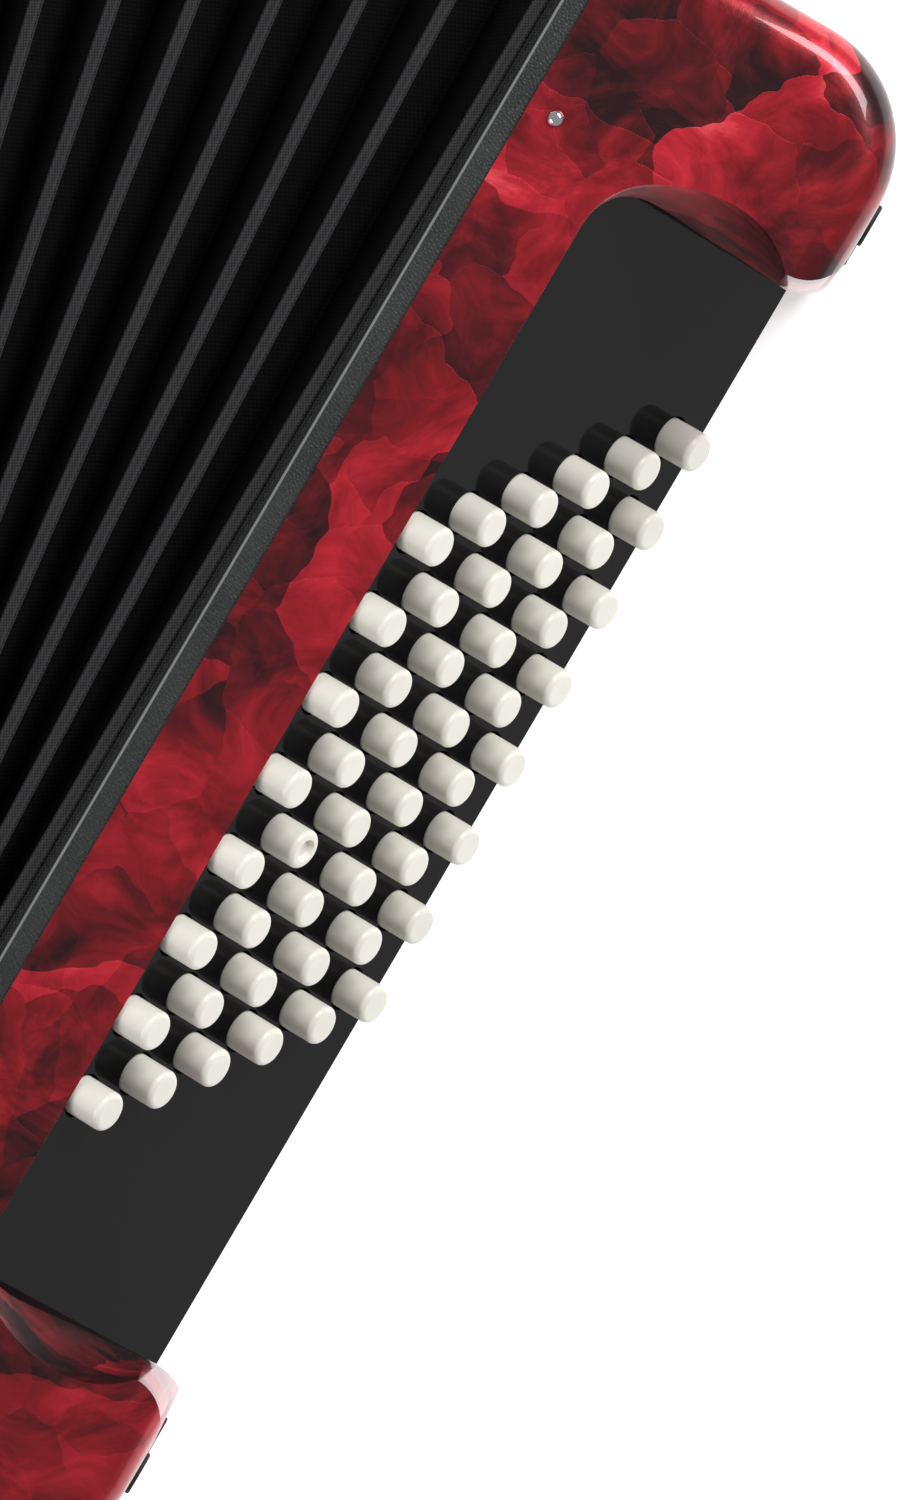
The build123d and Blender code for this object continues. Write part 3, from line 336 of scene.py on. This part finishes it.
# ---- Mesh helpers ----
def mesh_piece(name, rows, closed_rows, closed_across, material, thick=0.0):
    """A surface through rows of points, joined round or along as asked."""
    data = bpy.data.meshes.new(name)
    count, wide = len(rows), len(rows[0])
    faces = []
    for i in range(count if closed_rows else count - 1):
        for j in range(wide if closed_across else wide - 1):
            a, b = i, (i + 1) % count
            c, d = j, (j + 1) % wide
            faces.append((a * wide + c, a * wide + d, b * wide + d, b * wide + c))
    if not closed_rows and closed_across:
        faces.append(tuple(range(wide)))
        faces.append(tuple((count - 1) * wide + j for j in range(wide)))
    data.from_pydata([p for row in rows for p in row], [], faces)
    data.polygons.foreach_set("use_smooth", [True] * len(data.polygons))
    tidy = bmesh.new()
    tidy.from_mesh(data)
    bmesh.ops.recalc_face_normals(tidy, faces=tidy.faces)
    tidy.to_mesh(data)
    tidy.free()
    data.materials.append(material)
    piece = bpy.data.objects.new(name, data)
    bpy.context.scene.collection.objects.link(piece)
    if thick:
        shell = piece.modifiers.new("thick", "SOLIDIFY")
        shell.thickness = thick
        shell.offset = 0
    return piece


LEAST_RADIUS = 0.6
STRAIGHT_STEPS, CORNER_STEPS = 14, 6


def outline(length, depth, inset):
    """Points (along, z) round a rounded rectangle, with the same count at every inset."""
    half_l, half_d = length / 2 - inset, depth / 2 - inset
    r = max(BELLOWS_CORNER - inset, LEAST_RADIUS)
    points = []
    centres = [(half_l - r, half_d - r, 0), (-half_l + r, half_d - r, 90),
               (-half_l + r, -half_d + r, 180), (half_l - r, -half_d + r, 270)]
    for (cl, cz, start), following in zip(centres, centres[1:] + centres[:1]):
        for i in range(CORNER_STEPS + 1):
            a = radians(start + 90 * i / CORNER_STEPS)
            points.append((cl + r * cos(a), cz + r * sin(a)))
        a = radians(start + 90)
        end = (cl + r * cos(a), cz + r * sin(a))
        begin = (following[0] + r * cos(a), following[1] + r * sin(a))
        for i in range(1, STRAIGHT_STEPS):
            t = i / STRAIGHT_STEPS
            points.append((end[0] + (begin[0] - end[0]) * t, end[1] + (begin[1] - end[1]) * t))
    return [(along, MID_Z + z) for along, z in points]


def rows_through(rings, levels, at):
    """Rows across a band whose edges are rings, each ring at its level's distance out."""
    return [[at(out, *ring[i]) for (out, _), ring in zip(levels, rings)] for i in range(len(rings[0]))]


# ---- Bellows: a taped ridge and four corner guards for each fold ----
# Each profile goes over the ridge as (out, inset).
RIDGE_PROFILE = [(-1.3, 4.6), (-1.3, 2.0), (-1.2, 1.35), (-0.85, 1.0), (-0.4, 0.87), (0, 0.84),
                 (0.4, 0.87), (0.85, 1.0), (1.2, 1.35), (1.3, 2.0), (1.3, 4.6)]
GUARD_PROFILE = [(-1.38, 3.4), (-1.38, 1.2), (-1.1, 0.45), (-0.5, 0.12), (0, 0.04),
                 (0.5, 0.12), (1.1, 0.45), (1.38, 1.2), (1.38, 3.4)]
GUARD_THICK = 0.25
GUARD_ARC_STEPS = 8
# A guard's legs: down its z side, round the corner, then along the length.
GUARD_PATH = (
    [("z", s) for s in (10, 5, 0)]
    + [("arc", radians(90 * i / GUARD_ARC_STEPS)) for i in range(GUARD_ARC_STEPS + 1)]
    + [("along", s) for s in (0.01, 5, 10)]
)


def guard_point(kind, value, inset):
    """A point (along, z) on a corner guard, from the middle of the bellows."""
    r = max(BELLOWS_CORNER - inset, LEAST_RADIUS)
    cl, cz = LENGTH / 2 - inset - r, DEPTH / 2 - inset - r
    if kind == "z":
        return cl + r, cz - value
    if kind == "arc":
        return cl + r * cos(value), cz + r * sin(value)
    return cl - value, cz + r


for k in range(FOLDS):
    rings = [outline(LENGTH, DEPTH, inset) for _, inset in RIDGE_PROFILE]
    rows = rows_through(rings, RIDGE_PROFILE, lambda out, along, z: on_fold(k, out, along, z))
    body = FOLD_NAMES[k]
    node = f"bellows_fold_{k + 1:02d}"
    tape = mesh_piece(f"ridge_tape_{k + 1:02d}", rows, True, True, MATS["bellows_tape"])
    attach(tape, body)
    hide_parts(node)
    for number, (sl, sz) in enumerate(((1, 1), (-1, 1), (-1, -1), (1, -1)), start=1):
        rows = []
        for kind, value in GUARD_PATH:
            points = [(out, *guard_point(kind, value, inset)) for out, inset in GUARD_PROFILE]
            rows.append([on_fold(k, out, sl * along, MID_Z + sz * z) for out, along, z in points])
        name = f"corner_guard_{k + 1:02d}_{number}"
        guard = mesh_piece(name, rows, False, False, GUARD, GUARD_THICK * MM)
        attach(guard, body)

# ---- Bellows: a folded card between each two ridges ----
# Its edges lie inside the ridge tapes, CARD_IN from each fold's middle.
VALLEY = 22.0
CARD_EDGE = 2.2
CARD_IN = 0.2
CARD_STEPS = 12
CARD_SWELL = 0.06
CARD_THICK = 0.5
for k in range(FOLDS - 1):
    rows_by_level = []
    for t in (i / CARD_STEPS for i in range(CARD_STEPS + 1)):
        near = 1 - abs(2 * t - 1)
        inset = CARD_EDGE + (VALLEY - CARD_EDGE) * near
        swell = CARD_SWELL * sin(pi * near)
        ring = outline(LENGTH, DEPTH, inset)
        weight = t + (swell if t < 0.5 else -swell)
        rows_by_level.append([
            on_fold(k, CARD_IN, *p).lerp(on_fold(k + 1, -CARD_IN, *p), weight) for p in ring
        ])
    rows = [[level[i] for level in rows_by_level] for i in range(len(rows_by_level[0]))]
    card = mesh_piece(f"pleat_{k + 1:02d}", rows, True, False, MATS["bellows_card"], CARD_THICK * MM)
    a = radians((k + 0.5) * FOLD_STEP)
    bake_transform(card)
    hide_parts("bellows_pleats")


# ---- Trim on each bellows frame: end pleat, stitched strip, piping and stitches ----
END_PLEAT = [(-6.9, 5.2), (-6.7, 7.5), (-6.0, 12.0), (-5.2, 7.5), (-4.4, 5.0)]
STRIP_PROFILE = [(-6.7, 5.0), (-6.6, 4.3), (-5.7, 3.9), (-4.8, 3.6), (-4.3, 3.4)]
STRIP_WIDER = 4
TRIM_THICK = 0.4
PIPING_NARROWER = 2
PIPING_OUT, PIPING_IN, PIPING_RADIUS, PIPING_SIDES = -4.45, 0.42, 0.38, 8
STITCH_OUT = -5.7
STITCH_INSET = 3.8
STITCH_PITCH = 2.4
STITCH_HALF = 0.75
STITCH_CLEAR = 5
STITCH_SHAPE = (0.28, 0.28, 0.8, 1)


def trim(side, at, sign, body):
    def spot(out, along, z):
        return at(sign * out, along, z)

    rings = [outline(LENGTH, DEPTH, inset) for _, inset in END_PLEAT]
    rows = rows_through(rings, END_PLEAT, spot)
    card = mesh_piece(f"{side}_end_pleat", rows, True, False, MATS["bellows_card"], TRIM_THICK * MM)
    strip_length, strip_depth = LENGTH + STRIP_WIDER, DEPTH + STRIP_WIDER
    rings = [outline(strip_length, strip_depth, inset) for _, inset in STRIP_PROFILE]
    rows = rows_through(rings, STRIP_PROFILE, spot)
    name = f"{side}_stitched_strip"
    strip = mesh_piece(name, rows, True, False, MATS["bellows_tape"], TRIM_THICK * MM)
    ring, inner = (outline(CASE_LENGTH - PIPING_NARROWER, CASE_DEPTH - PIPING_NARROWER, inset)
                   for inset in (0.0, 1.0))
    turns = [2 * pi * i / PIPING_SIDES for i in range(PIPING_SIDES)]
    rows = []
    for p, q in zip(ring, inner):
        row = []
        for turn in turns:
            share = PIPING_IN + PIPING_RADIUS * sin(turn)
            along, z = (p[n] + (q[n] - p[n]) * share for n in (0, 1))
            row.append(spot(PIPING_OUT + PIPING_RADIUS * cos(turn), along, z))
        rows.append(row)
    piping = mesh_piece(f"{side}_piping", rows, True, True, PIPING)
    # Stitches: short threads along the strip, clear of its corners.
    half_l, half_d = strip_length / 2 - STITCH_INSET, strip_depth / 2 - STITCH_INSET
    short_l, short_d = half_l - STITCH_CLEAR, half_d - STITCH_CLEAR
    stitches = bmesh.new()
    for start, end in (
        ((-short_l, half_d), (short_l, half_d)),
        ((-short_l, -half_d), (short_l, -half_d)),
        ((half_l, -short_d), (half_l, short_d)),
        ((-half_l, -short_d), (-half_l, short_d)),
    ):
        run = sqrt((end[0] - start[0]) ** 2 + (end[1] - start[1]) ** 2)
        way = ((end[0] - start[0]) / run, (end[1] - start[1]) / run)
        for i in range(int(run / STITCH_PITCH)):
            centre = (i + 0.5) * STITCH_PITCH
            before, after = (
                spot(STITCH_OUT, start[0] + way[0] * at_run, MID_Z + start[1] + way[1] * at_run)
                for at_run in (centre - STITCH_HALF, centre + STITCH_HALF)
            )
            turn = (after - before).to_track_quat("Z", "Y").to_matrix().to_4x4()
            shape = Matrix.Translation((before + after) / 2) @ turn @ Matrix.Diagonal(STITCH_SHAPE)
            bmesh.ops.create_uvsphere(stitches, u_segments=6, v_segments=4, radius=MM, matrix=shape)
    data = bpy.data.meshes.new(f"{side}_stitches")
    stitches.to_mesh(data)
    stitches.free()
    data.polygons.foreach_set("use_smooth", [True] * len(data.polygons))
    data.materials.append(THREAD)
    thread = bpy.data.objects.new(f"{side}_stitches", data)
    bpy.context.scene.collection.objects.link(thread)
    for piece in (card, strip, piping, thread):
        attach(piece, body)


trim("bass", bass, 1, "bass")
trim("treble", treble, -1, "treble")

# ---- Hand strap: padded leather with a sunk seam along both edges ----
STRAP_LOW, STRAP_HIGH = 8.0, 66.0
STRAP_EDGE = 0.6
EYE_OUT, EYE_ALONG, CREST = 51.0, 116.0, 60.5
STRAP_LENGTHS, SECTIONS = 72, 20
SEAM_AT, SEAM_WIDE, SEAM_DEEP = 0.86, 0.06, 0.5
CROWN, CROWN_SUNK, LINING_SHARE = 0.9, 0.7, 0.5


def strap_out(along, inside):
    """Distance outwards of the strap's outer or inner face."""
    low = EYE_OUT + (3.0 if inside else 5.0)
    high = CREST - (3.0 if inside else 0.0)
    return low + (high - low) * (1 - (along / EYE_ALONG) ** 2)


rows = []
for i in range(STRAP_LENGTHS + 1):
    along = -EYE_ALONG + 2 * EYE_ALONG * i / STRAP_LENGTHS
    row = []
    for j in range(2 * SECTIONS):
        inside = j >= SECTIONS
        t = (j - SECTIONS if inside else j) / (SECTIONS - 1)
        height = STRAP_HIGH - STRAP_LOW - 2 * STRAP_EDGE
        z = STRAP_LOW + STRAP_EDGE + height * (1 - t if inside else t)
        across = abs((z - STRAP_LOW) / (STRAP_HIGH - STRAP_LOW) * 2 - 1)
        seam = SEAM_DEEP * max(0.0, 1 - abs(across - SEAM_AT) / SEAM_WIDE)
        crown = CROWN * (1 - across ** 4) - CROWN_SUNK - seam
        swell = -crown * LINING_SHARE if inside else crown
        row.append(bass(strap_out(along, inside) + swell, along, z))
    rows.append(row)
strap = mesh_piece("hand_strap", rows, False, True, MATS["leather"])
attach(strap, "bass")
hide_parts("bass_strap")

LOOP_PROFILE = ((2.7, 8.5), (3.8, 8.1), (4.9, 8.6), (4.95, 37), (4.9, 65.4), (3.8, 65.9), (2.7, 65.5))
LOOP_STEPS = 24
for number, end in enumerate((-1, 1), start=1):
    rows = []
    for i in range(LOOP_STEPS + 1):
        a = 2 * pi * i / LOOP_STEPS
        rows.append([
            bass(EYE_OUT + r * cos(a), end * EYE_ALONG + r * sin(a), z) for r, z in LOOP_PROFILE
        ])
    eye = mesh_piece(f"strap_loop_{number}", rows, False, True, MATS["leather"])
    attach(eye, "bass")

# ---- Floor, light and camera ----
floor_mat = Nodes("floor")
floor_cloud = floor_mat.noise(3, 2).outputs["Fac"]
floor_mat.ramp(floor_cloud, [(0.3, (0.93, 0.93, 0.93)), (0.7, (0.96, 0.96, 0.96))])
floor_mat.sets(Roughness=0.9, Emission_Color=(1, 1, 1, 1), Emission_Strength=0.50)
bpy.ops.mesh.primitive_plane_add(size=12, location=(0, 0, -0.0005))
floor = bpy.context.object
floor.name = "floor"
floor.data.materials.append(floor_mat.mat)

world = bpy.data.worlds.new("studio")
bpy.context.scene.world = world
bpy.context.scene.view_settings.view_transform = "Standard"
world.use_nodes = True
sky = world.node_tree.nodes["Background"]
sky.inputs["Color"].default_value = (0.95, 0.97, 1.0, 1)
sky.inputs["Strength"].default_value = 0.30


def area(name, location, target, size, energy):
    data = bpy.data.lights.new(name, "AREA")
    data.shape = "RECTANGLE"
    data.size, data.size_y = size
    data.energy = energy
    lamp = bpy.data.objects.new(name, data)
    lamp.location = location
    lamp.rotation_euler = (Vector(target) - Vector(location)).to_track_quat("-Z", "Y").to_euler()
    bpy.context.scene.collection.objects.link(lamp)


area("key", (1.1, 0.9, 1.5), (0.05, 0, 0.1), (1.0, 0.7), 36)
area("fill", (-1.3, -0.7, 1.3), (0, 0, 0.1), (1.1, 1.1), 17)

# The camera looks almost straight down at a point over the board, where the picture is VIEW_HEIGHT
# metres high. CAMERA_ASIDE was set so that the rows of buttons match the photograph's.
AIM = bass(50.3, 12.0, CASE_DEPTH)
DISTANCE = 2.4
CAMERA_ASIDE = (0.014, 0.016)
SENSOR = 36
VIEW_HEIGHT = 0.2885
camera_data = bpy.data.cameras.new("camera")
camera_data.sensor_fit = "VERTICAL"
camera_data.sensor_height = SENSOR
camera_data.lens = SENSOR * DISTANCE / VIEW_HEIGHT
camera_data.clip_end = 50
camera = bpy.data.objects.new("camera", camera_data)
camera.location = AIM + Vector((*CAMERA_ASIDE, DISTANCE))
look = (AIM - camera.location).normalized()
right = look.cross(Vector((0, 1, 0))).normalized()
camera.rotation_euler = Matrix((right, right.cross(look), -look)).transposed().to_euler()
bpy.context.scene.collection.objects.link(camera)
bpy.context.scene.camera = camera
